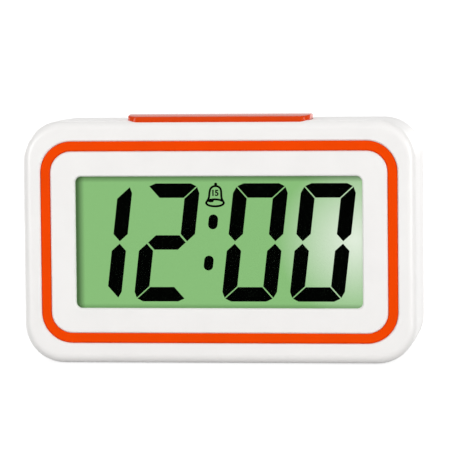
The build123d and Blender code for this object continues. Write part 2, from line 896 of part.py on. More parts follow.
def chip_parts():
    parts = []
    for index in range(chip_count):
        x = (index - (chip_count - 1) / 2) * chip_pitch
        for row in range(1, chip_rows + 1):
            left = x - chip_width / 2
            bottom = blob_z - blob_radius - row * chip_pitch
            back = board_back + chip_height
            parts.append(block(left, left + chip_width, board_back, back, bottom, bottom + chip_length))
    return parts


# Set buttons and key board
def set_button(name):
    button_back = case_depth + key_proud
    profile = [
        (0, key_flange_front),
        (key_flange_radius, key_flange_front),
        (key_flange_radius, back_inside),
        (key_radius, back_inside),
        (key_radius, button_back - key_edge_bevel),
        (key_radius - key_edge_bevel, button_back),
        (0, button_back),
    ]
    return turned(profile, key_places[name], key_height)


def set_switch_plunger(name):
    front = key_switch_back - plunger_engagement
    return peg(key_places[name], key_height, key_plunger_radius, front, key_flange_front)


def key_board():
    bottom = key_height - key_board_height / 2
    top = key_height + key_board_height / 2
    board = block(-key_board_half, key_board_half, key_board_front, key_board_back, bottom, top)
    for x, z in key_screw_places:
        board -= peg(x, z, small_screw_radius + slide_gap, key_board_front, key_board_back)
    return board


def key_switch_bodies():
    bodies = []
    half = key_switch_side / 2
    bottom = key_height - half
    top = key_height + half
    bore_front = key_switch_back - plunger_engagement - key_travel - slide_gap
    for x in key_places.values():
        body = block(x - half, x + half, key_board_back, key_switch_back, bottom, top)
        bore = peg(x, key_height, key_plunger_radius + plunger_gap, bore_front, key_switch_back)
        bodies.append(body - bore)
    return bodies


def key_board_screws():
    screws = []
    for x, z in key_screw_places:
        head = peg(x, z, small_screw_head_radius, key_board_front - small_screw_head_height, key_board_front)
        shank = peg(x, z, small_screw_radius, key_board_front, key_board_front + key_screw_reach)
        screws.append(head + shank)
    return screws


def key_ribbon():
    start_z = key_height - key_board_height / 2 + ribbon_thickness
    end_z = start_z - ribbon_drop
    bend_y = (key_board_front + board_back) / 2
    route = [(0, key_board_front, start_z), (0, bend_y, start_z), (0, bend_y, end_z), (0, board_back, end_z)]
    path = FilletPolyline(*route, radius=ribbon_bend)
    start = Plane(origin=path @ 0, x_dir=(1, 0, 0), z_dir=path % 0)
    return sweep(start * Rectangle(ribbon_width, ribbon_thickness), path=path)


# Loudspeaker
def speaker_basket():
    profile = [
        (speaker_radius, speaker_front),
        (speaker_radius, rim_front),
        (speaker_radius - speaker_seat_width, rim_front),
        (basket_floor_radius, basket_front),
        (0, basket_front),
        (0, basket_front + speaker_rim),
        (basket_floor_radius - speaker_rim / 2, basket_front + speaker_rim),
        (speaker_radius - speaker_seat_width - speaker_rim, speaker_front),
    ]
    basket = turned(profile, speaker_x, speaker_z)
    half = terminal_width / 2
    inner = speaker_x + basket_floor_radius
    outer = speaker_x + speaker_radius - speaker_seat_width + terminal_reach
    middle_depth = basket_front + speaker_depth / 2
    tag_back = middle_depth + terminal_thickness
    tag = block(inner, outer, middle_depth, tag_back, speaker_z - half, speaker_z + half)
    inside = [
        (0, basket_front + speaker_rim),
        (basket_floor_radius - speaker_rim / 2, basket_front + speaker_rim),
        (speaker_radius - speaker_seat_width - speaker_rim, speaker_front),
        (0, speaker_front),
    ]
    return basket + (tag - turned(inside, speaker_x, speaker_z))


def speaker_magnet():
    return peg(speaker_x, speaker_z, magnet_radius, magnet_front, basket_front)


def speaker_cone():
    rim_outer = speaker_radius - speaker_seat_width - fit_gap
    rim_inner = rim_outer - speaker_seat_width
    deep = speaker_front - cone_depth
    profile = [
        (rim_outer, speaker_front),
        (rim_outer, speaker_front + cone_thickness),
        (rim_inner, speaker_front + cone_thickness),
        (cap_radius, deep + cone_thickness),
        (0, deep + cone_thickness),
        (0, deep),
        (cap_radius, deep),
        (rim_inner, speaker_front),
    ]
    return turned(profile, speaker_x, speaker_z)


def speaker_screws():
    screws = []
    for x, z in speaker_screw_places:
        head = peg(x, z, speaker_screw_head_radius, rim_front - small_screw_head_height, rim_front)
        screws.append(head + peg(x, z, small_screw_radius, rim_front, rim_front + speaker_screw_reach))
    return screws


def speaker_leads():
    start_x = speaker_x + speaker_radius - speaker_seat_width + terminal_reach - 2 * lead_radius
    start_y = basket_front + speaker_depth / 2
    bend_y = (start_y + board_back) / 2
    wires = []
    for side in (-1, 1):
        z = speaker_z + side * terminal_width / 4
        knee = (start_x + 2 * lead_bend, bend_y - lead_bend, z + lead_bend)
        end = (start_x + 2 * lead_bend, board_back, z + lead_bend)
        wires.append(lead([(start_x, start_y, z), (start_x, bend_y + lead_bend, z), knee, end]))
    return wires


# Battery compartment
def aaa_cells():
    body = cell_length - cell_nub_height
    lying = Rot(0, 90, 0)
    can = lying * Cylinder(cell_radius, body)
    nub = lying * Cylinder(cell_nub_radius, cell_nub_height)
    low_end = bay_end - plate_thickness
    low = Pos(low_end - cell_nub_height - body / 2, cell_y, cell_low) * can
    low += Pos(low_end - cell_nub_height / 2, cell_y, cell_low) * nub
    high_end = bay_start + plate_thickness
    high = Pos(high_end + cell_nub_height + body / 2, cell_y, cell_high) * can
    high += Pos(high_end + cell_nub_height / 2, cell_y, cell_high) * nub
    return [low, high]


def contact_plate(left, height):
    """A flat contact standing against an end wall of the compartment."""
    half = plate_width / 2
    front = bay_floor
    return block(left, left + plate_thickness, front, front + plate_height, height - half, height + half)


def contact_tab(height):
    """The solder tab of an end contact, passing through the floor of the compartment."""
    half = tab_width / 2
    left = bay_end - plate_thickness
    return block(left, bay_end, bay_floor - bay_wall - tab_reach, bay_floor, height - half, height + half)


def bridge_plate():
    half = plate_width / 2
    back = bay_floor + plate_height
    return block(bay_start, bay_start + plate_thickness, bay_floor, back, cell_low - half, cell_high + half)


def cell_springs():
    radii = (cell_spring_base, cell_spring_tip)
    winding = (cell_spring_length, cell_spring_turns, cell_spring_wire, cell_spring_sides)
    wound = coil("cell spring", *radii, *winding)
    low = Pos(bay_start + plate_thickness, cell_y, cell_low) * Rot(0, 90, 0) * wound
    high = Pos(bay_end - plate_thickness, cell_y, cell_high) * Rot(0, -90, 0) * wound
    return [low, high]


def battery_leads():
    tab_end = bay_floor - bay_wall - tab_reach
    start_x = bay_end - plate_thickness / 2
    bend_y = (tab_end + board_back) / 2
    wires = []
    for height in (cell_low, cell_high):
        knee = (start_x + lead_bend, bend_y - lead_bend, height - lead_bend)
        end = (start_x + lead_bend, board_back, height - lead_bend)
        wires.append(lead([(start_x, tab_end, height), (start_x, bend_y + lead_bend, height), knee, end]))
    return wires


pieces = {
    "front_case": front_case(),
    "accent_ring": accent_ring(),
    "window_lens": window_lens(),
    "lcd_gasket": lcd_gasket(),
    "lcd_front_glass": lcd_plate(glass_front, cell_front, ledge_bottom),
    "lcd_segments": lcd_segments(),
    "lcd_seal": lcd_seal(),
    "lcd_rear_glass": lcd_plate(cell_back, glass_back, lcd_bottom),
    "diffuser_sheet": lcd_plate(glass_back, guide_front, lcd_bottom, fit_gap),
    "light_guide": light_guide(),
    "reflector_sheet": reflector_sheet(),
    "backlight_lamp": backlight_lamp(),
    "contact_strip": contact_strip(),
    "lcd_holder": lcd_holder(),
    "main_board": main_board(),
    "board_screws": board_screws(),
    "chip_blob": chip_blob(),
    "watch_crystal": watch_crystal(),
    "capacitors": capacitors(),
    "chip_parts": chip_parts(),
    "talk_button": talk_button(),
    "talk_springs": talk_springs(),
    "talk_switch_body": talk_switch_body(),
    "talk_switch_plunger": talk_switch_plunger(),
    "rear_case": rear_case(),
    "case_screws": case_screws(),
    "key_board": key_board(),
    "key_switch_bodies": key_switch_bodies(),
    "key_board_screws": key_board_screws(),
    "key_ribbon": key_ribbon(),
    "speaker_basket": speaker_basket(),
    "speaker_magnet": speaker_magnet(),
    "speaker_cone": speaker_cone(),
    "speaker_screws": speaker_screws(),
    "speaker_leads": speaker_leads(),
    "battery_door": battery_door(),
    "aaa_cells": aaa_cells(),
    "bridge_plate": bridge_plate(),
    "positive_plate": contact_plate(bay_end - plate_thickness, cell_low) + contact_tab(cell_low),
    "negative_plate": contact_plate(bay_end - plate_thickness, cell_high) + contact_tab(cell_high),
    "cell_springs": cell_springs(),
    "battery_leads": battery_leads(),
}
for name in key_names:
    pieces[f"{name}_button"] = set_button(name)
    pieces[f"{name}_switch_plunger"] = set_switch_plunger(name)

os.makedirs("parts", exist_ok=True)
for node, piece in pieces.items():
    solids = piece if isinstance(piece, list) else [piece]
    placed = [stand * solid for group in solids for solid in group.solids()]
    export_step(placed[0] if len(placed) == 1 else Compound(placed), f"parts/{node}.step")

hinge = stand * Vertex(bay_centre, hinge_y, hinge_z)
print("door hinge", [round(value, 4) for value in hinge.center()])
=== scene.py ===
import math

import bpy
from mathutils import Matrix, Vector


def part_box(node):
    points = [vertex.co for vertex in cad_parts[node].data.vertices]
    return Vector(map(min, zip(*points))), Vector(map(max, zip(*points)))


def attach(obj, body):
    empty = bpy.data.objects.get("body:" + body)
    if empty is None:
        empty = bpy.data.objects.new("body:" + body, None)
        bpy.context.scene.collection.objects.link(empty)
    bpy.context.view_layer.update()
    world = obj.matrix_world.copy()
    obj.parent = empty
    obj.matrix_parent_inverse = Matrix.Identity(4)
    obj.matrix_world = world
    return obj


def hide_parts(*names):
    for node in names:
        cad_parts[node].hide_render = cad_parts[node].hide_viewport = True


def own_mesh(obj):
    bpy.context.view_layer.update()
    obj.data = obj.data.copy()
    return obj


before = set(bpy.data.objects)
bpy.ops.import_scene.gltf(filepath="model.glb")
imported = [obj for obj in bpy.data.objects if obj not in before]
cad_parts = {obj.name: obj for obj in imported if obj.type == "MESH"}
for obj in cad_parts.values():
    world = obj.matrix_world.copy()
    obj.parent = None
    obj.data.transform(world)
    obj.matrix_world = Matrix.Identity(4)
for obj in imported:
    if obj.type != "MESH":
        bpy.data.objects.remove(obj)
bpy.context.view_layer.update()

# Front case. The face, its frame and the front half of the walls are one injection moulding in white
# styrene. It comes off a finely etched tool, so its gloss is soft and a faint grain breaks it up.
white_colour = (0.885, 0.872, 0.858)
white_roughness = 0.36
white_grain = 0.00042
cloud_scale = 90.0
cloud_detail = 3.0
darkest_cloud = 0.3
palest_cloud = 0.7
pit_detail = 2.0
pit_depth_share = 0.35
gloss_spread = 0.15


def tint(colour, factor=1.0):
    """A colour made lighter or darker, as a full socket value."""
    return tuple(channel * factor for channel in colour) + (1.0,)


def finish(name, colour, roughness, grain, metallic=0.0, specular=0.5, drift=0.03, relief=0.00002):
    """A finish whose colour drifts slowly, with a grain that breaks up its gloss and its surface."""
    material = bpy.data.materials.new(name)
    material.use_nodes = True
    tree = material.node_tree
    shader = tree.nodes["Principled BSDF"]
    shader.inputs["Metallic"].default_value = metallic
    shader.inputs["Specular IOR Level"].default_value = specular
    place = tree.nodes.new("ShaderNodeTexCoord")
    cloud = tree.nodes.new("ShaderNodeTexNoise")
    cloud.inputs["Scale"].default_value = cloud_scale
    cloud.inputs["Detail"].default_value = cloud_detail
    shades = tree.nodes.new("ShaderNodeValToRGB")
    shades.color_ramp.elements[0].position = darkest_cloud
    shades.color_ramp.elements[0].color = tint(colour, 1.0 - drift)
    shades.color_ramp.elements[1].position = palest_cloud
    shades.color_ramp.elements[1].color = tint(colour)
    pits = tree.nodes.new("ShaderNodeTexNoise")
    pits.inputs["Scale"].default_value = 1.0 / grain
    pits.inputs["Detail"].default_value = pit_detail
    gloss = tree.nodes.new("ShaderNodeMapRange")
    gloss.inputs["To Min"].default_value = roughness * (1.0 - gloss_spread)
    gloss.inputs["To Max"].default_value = roughness * (1.0 + gloss_spread)
    bump = tree.nodes.new("ShaderNodeBump")
    bump.inputs["Strength"].default_value = pit_depth_share
    bump.inputs["Distance"].default_value = relief
    tree.links.new(place.outputs["Object"], cloud.inputs["Vector"])
    tree.links.new(cloud.outputs["Fac"], shades.inputs["Fac"])
    tree.links.new(shades.outputs["Color"], shader.inputs["Base Color"])
    tree.links.new(place.outputs["Object"], pits.inputs["Vector"])
    tree.links.new(pits.outputs["Fac"], gloss.inputs["Value"])
    tree.links.new(gloss.outputs["Result"], shader.inputs["Roughness"])
    tree.links.new(pits.outputs["Fac"], bump.inputs["Height"])
    tree.links.new(bump.outputs["Normal"], shader.inputs["Normal"])
    return material


def dress(material, *names):
    """Gives a finish to pieces that keep their drawn shape."""
    for name in names:
        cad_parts[name].material_slots[0].material = material


white_moulding = finish("white_moulding", white_colour, white_roughness, white_grain)
dress(white_moulding, "front_case")

# Accent ring. A loose orange moulding is pressed into the groove round the face panel and staked at
# the back by six pins. Its colour is in the plastic, and its front is a little below the face.
orange_colour = (0.890, 0.063, 0.0006)
orange_roughness = 0.42
orange_specular = 0.02
orange_moulding = finish(
    "orange_moulding", orange_colour, orange_roughness, white_grain, specular=orange_specular, drift=0.05
)
dress(orange_moulding, "accent_ring")

# Window lens. A clear styrene plate sits in a pocket behind the window opening and keeps dust off the
# glass. It is thin, flat and so clear that hardly any gloss gives it away.
lens_colour = (0.0012, 0.0016, 0.0012)
clear_specular = 0.003
clear_drift = 0.1
clear_relief = 0.000001


def clear(name, colour, cover, roughness):
    """A clear plate: nearly all light passes, and its own tint covers a small share."""
    material = finish(
        name, colour, roughness, white_grain, specular=clear_specular, drift=clear_drift,
        relief=clear_relief,
    )
    material.node_tree.nodes["Principled BSDF"].inputs["Alpha"].default_value = cover
    return material


clear_plate = clear("clear_plate", lens_colour, cover=0.03, roughness=0.06)
dress(clear_plate, "window_lens")

# Display glass. Two thin plates with ground edges hold the liquid crystal between them. The front one
# is longer, so that its lower ledge can rest on the contact strip.
lean = math.radians(8.0)
glass_colour = (0.0010, 0.0016, 0.0012)
glass_thickness = 0.0011
glass_ground_edge = 0.0002
glass_ground_steps = 2
glass_clearance = 0.00003
cell_glass = clear("cell_glass", glass_colour, cover=0.015, roughness=0.05)
seal_low, seal_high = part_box("lcd_seal")
cell_centre = (seal_low + seal_high) / 2


def at(across, inwards, upwards):
    """A point of the clock, given from the middle of the display as the face sees it."""
    back = inwards * math.cos(lean) + upwards * math.sin(lean)
    rise = upwards * math.cos(lean) - inwards * math.sin(lean)
    return cell_centre + Vector((across, back, rise))


def select_only(piece):
    """Selects one piece, makes it the active one and deselects the rest."""
    bpy.ops.object.select_all(action="DESELECT")
    piece.select_set(True)
    bpy.context.view_layer.objects.active = piece


def settle(piece, place):
    """Leans a piece back with the clock, puts it in its place and leaves the place in its mesh."""
    piece.rotation_euler = (-lean, 0.0, 0.0)
    piece.location = place
    select_only(piece)
    bpy.ops.object.transform_apply(location=True, rotation=True, scale=True)


def glass_plate(name, node):
    """A glass plate a hair smaller than its drawn solid, with its edges ground off."""
    low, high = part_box(node)
    height = (high.z - low.z - glass_thickness * math.sin(lean)) / math.cos(lean)
    sides = Vector((high.x - low.x, glass_thickness, height))
    bpy.ops.object.select_all(action="DESELECT")
    bpy.ops.mesh.primitive_cube_add(size=1.0)
    plate = bpy.context.object
    plate.name = name
    plate.scale = sides - Vector((1.0, 1.0, 1.0)) * 2 * glass_clearance
    bpy.ops.object.transform_apply(scale=True)
    bpy.ops.object.mode_set(mode="EDIT")
    bpy.ops.mesh.select_all(action="SELECT")
    bpy.ops.mesh.bevel(offset=glass_ground_edge, segments=glass_ground_steps, affect="EDGES")
    bpy.ops.object.mode_set(mode="OBJECT")
    settle(plate, (low + high) / 2)
    plate.data.materials.append(cell_glass)
    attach(plate, "case")
    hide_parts(node)


glass_plate("front_glass_plate", "lcd_front_glass")
glass_plate("rear_glass_plate", "lcd_rear_glass")

# Seal and gasket. A line of cured resin joins the glass plates round their rim, and a strip of black
# foam seals them to the back of the face.
resin_colour = (0.30, 0.38, 0.29)
foam_colour = (0.02, 0.02, 0.02)
cell_resin = finish("cell_resin", resin_colour, roughness=0.5, grain=0.0006)
black_foam = finish("black_foam", foam_colour, roughness=0.95, grain=0.0005, drift=0.3, relief=0.0002)
dress(cell_resin, "lcd_seal")
dress(black_foam, "lcd_gasket")

# Lit cells. The liquid crystal turns black where a digit's strokes and the colon are switched on. It
# has no gloss of its own behind the glass.
ink_colour = (0.0012, 0.0018, 0.0012)
dark_cell = finish(
    "dark_cell", ink_colour, roughness=0.7, grain=0.0008, specular=0.0, drift=0.2, relief=0.000001
)
dress(dark_cell, "lcd_segments")

# Bell sign. A small alarm bell with the number 15 on it is another lit cell, above the colon. It is
# drawn in thin black lines: an open shell, a knob, the rim of its mouth and a clapper. The profile is
# the right half of the shell from the mouth to the crown, each point given across and up.
sign_line = 0.00070
sign_line_sides = 2
sign_curve_steps = 6
sign_flatness = 0.12
sign_place = Vector((-0.00146, 0.0, 0.01277))
sign_slant = 0.0448
shell_profile = (
    (0.00285, 0.00025),
    (0.00226, 0.00120),
    (0.00206, 0.00200),
    (0.00190, 0.00370),
    (0.00160, 0.00470),
    (0.00092, 0.00532),
)
crown_height = 0.00554
knob_reach = (0.00016, 0.00016)
knob_place = (0.0, 0.00616)
knob_points = 8
mouth_place = (0.0, 0.0)
mouth_reach = (0.00292, 0.00114)
mouth_points = 16
clapper_place = (-0.00139, 0.00061)
clapper_reach = (0.00100, 0.00046)
clapper_segments = 16
clapper_rings = 8
number_place = (-0.00016, 0.00318)
number_size = 0.0027
number_weight = sign_line / 7
number_spacing = 0.92


def slanted(points):
    """Points leaned over to the right by as much as the digits are."""
    return [(across + sign_slant * rise, rise) for across, rise in points]


def ring_points(centre, reach, count):
    """Points round an ellipse."""
    turns = [2 * math.pi * index / count for index in range(count)]
    return [(centre[0] + reach[0] * math.cos(a), centre[1] + reach[1] * math.sin(a)) for a in turns]


def push(offset):
    """Extrudes what is selected in edit mode by an offset."""
    bpy.ops.mesh.extrude_region_move(TRANSFORM_OT_translate={"value": tuple(offset)})


def ink_stroke(points, closed):
    """A line of ink through points on the display, given from the foot of the bell."""
    bpy.ops.object.select_all(action="DESELECT")
    bpy.ops.mesh.primitive_plane_add(size=sign_line, location=(points[0][0], 0.0, points[0][1]))
    bpy.ops.object.transform_apply(location=True)
    bpy.ops.object.mode_set(mode="EDIT")
    bpy.ops.mesh.select_all(action="SELECT")
    bpy.ops.mesh.merge(type="CENTER")
    for start, end in zip(points, points[1:]):
        push((end[0] - start[0], 0.0, end[1] - start[1]))
    bpy.ops.object.mode_set(mode="OBJECT")
    if closed:
        bpy.context.object.data.vertices[0].select = True
        bpy.ops.object.mode_set(mode="EDIT")
        bpy.ops.mesh.edge_face_add()
        bpy.ops.object.mode_set(mode="OBJECT")
    bpy.ops.object.convert(target="CURVE")
    stroke = bpy.context.object
    bpy.ops.object.mode_set(mode="EDIT")
    bpy.ops.curve.select_all(action="SELECT")
    bpy.ops.curve.spline_type_set(type="BEZIER")
    bpy.ops.curve.handle_type_set(type="AUTOMATIC")
    bpy.ops.object.mode_set(mode="OBJECT")
    stroke.data.bevel_depth = sign_line / 2
    stroke.data.bevel_resolution = sign_line_sides
    stroke.data.resolution_u = sign_curve_steps
    stroke.data.use_fill_caps = True
    bpy.ops.object.convert(target="MESH")
    return bpy.context.object


def bell_dot():
    """The clapper: a ball drawn out across the bell."""
    bpy.ops.object.select_all(action="DESELECT")
    bpy.ops.mesh.primitive_uv_sphere_add(
        segments=clapper_segments, ring_count=clapper_rings, radius=clapper_reach[0]
    )
    dot = bpy.context.object
    dot.location = (clapper_place[0], 0.0, clapper_place[1])
    dot.scale = (1.0, clapper_reach[1] / clapper_reach[0], clapper_reach[1] / clapper_reach[0])
    bpy.ops.object.transform_apply(location=True, rotation=True, scale=True)
    return dot


def bell_digits():
    """The number on the bell, upright and as thick as the lines."""
    across, rise = slanted([number_place])[0]
    bpy.ops.object.text_add(location=(across, 0.0, rise), rotation=(math.pi / 2, 0.0, 0.0))
    digits = bpy.context.object.data
    digits.body = "15"
    digits.size = number_size
    digits.align_x = "CENTER"
    digits.align_y = "CENTER"
    digits.extrude = sign_line / 2
    digits.offset = number_weight
    digits.space_character = number_spacing
    bpy.ops.object.convert(target="MESH")
    bpy.ops.object.transform_apply(location=True, rotation=True, scale=True)
    return bpy.context.object


def joined(pieces, name):
    """Several pieces made into one object."""
    select_only(pieces[0])
    for piece in pieces:
        piece.select_set(True)
    bpy.ops.object.join()
    pieces[0].name = name
    return pieces[0]


left_side = [(-across, rise) for across, rise in reversed(shell_profile)]
shell_line = list(shell_profile) + [(0.0, crown_height)] + left_side
bell_shell = ink_stroke(slanted(shell_line), closed=False)
bell_knob = ink_stroke(slanted(ring_points(knob_place, knob_reach, knob_points)), closed=True)
bell_mouth = ink_stroke(ring_points(mouth_place, mouth_reach, mouth_points), closed=True)
bell_clapper = bell_dot()
bell_number = bell_digits()
bell_sign = joined([bell_shell, bell_knob, bell_mouth, bell_clapper, bell_number], "bell_sign")
bpy.ops.object.mode_set(mode="EDIT")
bpy.ops.mesh.select_all(action="SELECT")
bpy.ops.transform.resize(value=(1.0, sign_flatness, 1.0), center_override=(0.0, 0.0, 0.0))
bpy.ops.mesh.normals_make_consistent(inside=False)
bpy.ops.object.mode_set(mode="OBJECT")
bell_sign.location = sign_place
bpy.ops.object.transform_apply(location=True)
settle(bell_sign, cell_centre)
bell_sign.data.materials.append(dark_cell)
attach(bell_sign, "case")

# Backlight. A lamp shines into the right edge of an acrylic light guide. A white film behind it and a
# green diffuser in front even the light out, but the diffuser stays paler close to the lamp. Painted
# shade darkens its light under the edges of the opening, where the frame's shadow falls.
green_colour = (0.282, 0.581, 0.220)
glow_colour = (0.860, 0.965, 0.815)
unlit_share = 0.12
glow_place = (0.04475, 0.0, 0.0004)
glow_reach = (0.0263, 0.2, 0.0263)
window_width = 0.0950
window_height = 0.0435
# Painted shade: how dark the film's light gets at each edge of the opening, and how far in it reaches.
left_painted_shade = 0.28
left_shade_reach = 0.0023
top_painted_shade = 0.27
top_shade_reach = 0.00225
foot_painted_shade = 0.68
foot_shade_reach = 0.0011
right_painted_shade = 0.82
right_shade_reach = 0.0012
guide_colour = (0.30, 0.34, 0.30)
film_colour = (0.90, 0.90, 0.90)
lamp_colour = (0.85, 0.90, 0.78)


def painted_edge_shade(tree, light, along, edge, reach, shade_share):
    """Painted shade: a light darkened to a share of itself within reach of one edge of the opening."""
    edge_shade = tree.nodes.new("ShaderNodeMapRange")
    edge_shade.inputs["From Min"].default_value = edge
    edge_shade.inputs["From Max"].default_value = edge - math.copysign(reach, edge)
    edge_shade.inputs["To Min"].default_value = shade_share
    edge_shade.inputs["To Max"].default_value = 1.0
    product = tree.nodes.new("ShaderNodeMix")
    product.data_type = "RGBA"
    product.blend_type = "MULTIPLY"
    product.inputs["Factor"].default_value = 1.0
    tree.links.new(along, edge_shade.inputs["Value"])
    tree.links.new(light, product.inputs["A"])
    tree.links.new(edge_shade.outputs["Result"], product.inputs["B"])
    return product.outputs["Result"]


def backlit_film():
    """Green film lit from behind: it glows evenly, pales round the lamp, with painted shade at the edges.
    """
    unlit_colour = tint(green_colour, unlit_share)[:3]
    material = finish(
        "backlit_film", unlit_colour, roughness=0.8, grain=0.0005, specular=0.05, relief=0.000002
    )
    tree = material.node_tree
    shader = tree.nodes["Principled BSDF"]
    face = tree.nodes.new("ShaderNodeMapping")
    face.vector_type = "TEXTURE"
    face.inputs["Location"].default_value = cell_centre
    face.inputs["Rotation"].default_value = (-lean, 0.0, 0.0)
    around = tree.nodes.new("ShaderNodeMapping")
    around.vector_type = "TEXTURE"
    around.inputs["Location"].default_value = glow_place
    around.inputs["Scale"].default_value = glow_reach
    ball = tree.nodes.new("ShaderNodeTexGradient")
    ball.gradient_type = "SPHERICAL"
    pale = tree.nodes.new("ShaderNodeValToRGB")
    pale.color_ramp.elements[0].color = tint(green_colour)
    pale.color_ramp.elements[1].color = tint(glow_colour)
    sides = tree.nodes.new("ShaderNodeSeparateXYZ")
    tree.links.new(tree.nodes["Texture Coordinate"].outputs["Object"], face.inputs["Vector"])
    tree.links.new(face.outputs["Vector"], around.inputs["Vector"])
    tree.links.new(around.outputs["Vector"], ball.inputs["Vector"])
    tree.links.new(ball.outputs["Fac"], pale.inputs["Fac"])
    tree.links.new(face.outputs["Vector"], sides.inputs["Vector"])
    light = pale.outputs["Color"]
    # Painted shadow of the frame, darkening the film's light along all four edges of the opening.
    light = painted_edge_shade(tree, light, sides.outputs["X"], -window_width / 2, left_shade_reach, left_painted_shade)
    light = painted_edge_shade(tree, light, sides.outputs["X"], window_width / 2, right_shade_reach, right_painted_shade)
    light = painted_edge_shade(tree, light, sides.outputs["Z"], window_height / 2, top_shade_reach, top_painted_shade)
    light = painted_edge_shade(tree, light, sides.outputs["Z"], -window_height / 2, foot_shade_reach, foot_painted_shade)
    tree.links.new(light, shader.inputs["Emission Color"])
    shader.inputs["Emission Strength"].default_value = 1.0
    return material


guide_acrylic = clear("guide_acrylic", guide_colour, cover=0.15, roughness=0.1)
white_film = finish("white_film", film_colour, roughness=0.4, grain=0.0004)
lamp_resin = finish("lamp_resin", lamp_colour, roughness=0.3, grain=0.0004)
dress(backlit_film(), "diffuser_sheet")
dress(guide_acrylic, "light_guide")
dress(white_film, "reflector_sheet")
dress(lamp_resin, "backlight_lamp")

# Display holder and contact strip. A pale moulded frame clips the stack to the board. A rubber strip
# of fine conducting and insulating layers is squeezed between the ledge of the glass and the board.
holder_colour = (0.78, 0.78, 0.75)
rubber_pale = (0.42, 0.20, 0.18)
rubber_dark = (0.03, 0.03, 0.03)
rubber_pitch = 0.0004
pitch_at_scale_one = math.pi / 10.0


def mix_in(material, colour, share):
    """Mixes a second colour into a finish, by the share that a pattern gives at each point."""
    tree = material.node_tree
    pair = tree.nodes.new("ShaderNodeMix")
    pair.data_type = "RGBA"
    pair.inputs["B"].default_value = tint(colour)
    tree.links.new(share, pair.inputs["Factor"])
    tree.links.new(tree.nodes["Color Ramp"].outputs["Color"], pair.inputs["A"])
    tree.links.new(pair.outputs["Result"], tree.nodes["Principled BSDF"].inputs["Base Color"])


def striped(name, first_colour, second_colour, pitch, roughness):
    """Layers side by side across the clock, a fixed pitch apart."""
    material = finish(name, first_colour, roughness, white_grain)
    tree = material.node_tree
    bands = tree.nodes.new("ShaderNodeTexWave")
    bands.inputs["Scale"].default_value = pitch_at_scale_one / pitch
    tree.links.new(tree.nodes["Texture Coordinate"].outputs["Object"], bands.inputs["Vector"])
    mix_in(material, second_colour, bands.outputs["Fac"])
    return material


pale_moulding = finish("pale_moulding", holder_colour, roughness=0.6, grain=0.0005)
layered_rubber = striped("layered_rubber", rubber_pale, rubber_dark, rubber_pitch, roughness=0.7)
dress(pale_moulding, "lcd_holder")
dress(layered_rubber, "contact_strip")

# Boards. The main board and the key board are glass-fibre laminate under green lacquer, with copper
# tracks that show as paler lines.
lacquer_colour = (0.018, 0.150, 0.055)
track_colour = (0.050, 0.250, 0.085)
track_spacing = 0.0045
track_width = 0.05
track_softness = 0.1


def board_finish():
    """Green lacquer over copper tracks that run in straight lengths with offset joints."""
    material = finish("board_lacquer", lacquer_colour, roughness=0.35, grain=0.0004, drift=0.1)
    tree = material.node_tree
    turned = tree.nodes.new("ShaderNodeMapping")
    turned.inputs["Rotation"].default_value = (math.pi / 2 + lean, 0.0, 0.0)
    tracks = tree.nodes.new("ShaderNodeTexBrick")
    tracks.inputs["Scale"].default_value = 1.0 / track_spacing
    tracks.inputs["Mortar Size"].default_value = track_width
    tracks.inputs["Mortar Smooth"].default_value = track_softness
    tree.links.new(tree.nodes["Texture Coordinate"].outputs["Object"], turned.inputs["Vector"])
    tree.links.new(turned.outputs["Vector"], tracks.inputs["Vector"])
    mix_in(material, track_colour, tracks.outputs["Fac"])
    return material


dress(board_finish(), "main_board", "key_board")

# Parts on the boards. The clock's chip is a bare die under a blob of black resin. A crystal in a metal
# can, sleeved capacitors and small fired chips are soldered beside it. Plated screws hold the board.
zinc_colour = (0.56, 0.56, 0.57)
nickel_colour = (0.68, 0.66, 0.62)
potting_colour = (0.010, 0.010, 0.011)
sleeve_colour = (0.020, 0.030, 0.090)
ceramic_colour = (0.25, 0.19, 0.13)
zinc_plate = finish("zinc_plate", zinc_colour, roughness=0.34, grain=0.0006, metallic=1.0, drift=0.15)
nickel_plate = finish(
    "nickel_plate", nickel_colour, roughness=0.25, grain=0.0006, metallic=1.0, drift=0.1
)
potting_resin = finish(
    "potting_resin", potting_colour, roughness=0.22, grain=0.0012, drift=0.2, relief=0.00005
)
shrunk_sleeve = finish("shrunk_sleeve", sleeve_colour, roughness=0.30, grain=0.0005, drift=0.2)
fired_ceramic = finish("fired_ceramic", ceramic_colour, roughness=0.65, grain=0.0003, drift=0.2)
dress(potting_resin, "chip_blob")
dress(nickel_plate, "watch_crystal")
dress(shrunk_sleeve, "capacitors")
dress(fired_ceramic, "chip_parts")
dress(zinc_plate, "board_screws")

# Talk switch. A small push switch stands on the top edge of the board, with a pale plunger that the
# bar's post presses.
black_colour = (0.015, 0.015, 0.016)
black_moulding = finish("black_moulding", black_colour, roughness=0.55, grain=0.0005, drift=0.2)
dress(black_moulding, "talk_switch_body")
dress(pale_moulding, "talk_switch_plunger")

# Talk bar. A long orange moulding with a crowned top is guided by two legs in the slot on top of the
# case.
bar_colour = (0.710, 0.052, 0.0006)
bar_roughness = 0.14
bar_specular = 0.10
bar_relief = 0.000005
bar_moulding = finish(
    "bar_moulding", bar_colour, bar_roughness, white_grain, specular=bar_specular, drift=0.06,
    relief=bar_relief,
)
dress(bar_moulding, "talk_button")

# Talk springs. Two coils of round drawn wire stand round the legs on a shelf of the case and push the
# bar back up.
wire_colour = (0.58, 0.58, 0.56)
spring_radius = 0.0027
spring_wire_radius = 0.00028
spring_wire_sides = 10
spring_foot = 0.0003
spring_room = 0.0074
spring_turns = 4
spring_steps = 28
spring_smooth = math.radians(45.0)
spring_across = 0.0220
spring_inwards = 0.0050
spring_seat = 0.0327
drawn_wire = finish("drawn_wire", wire_colour, roughness=0.28, grain=0.0003, metallic=1.0, drift=0.15)


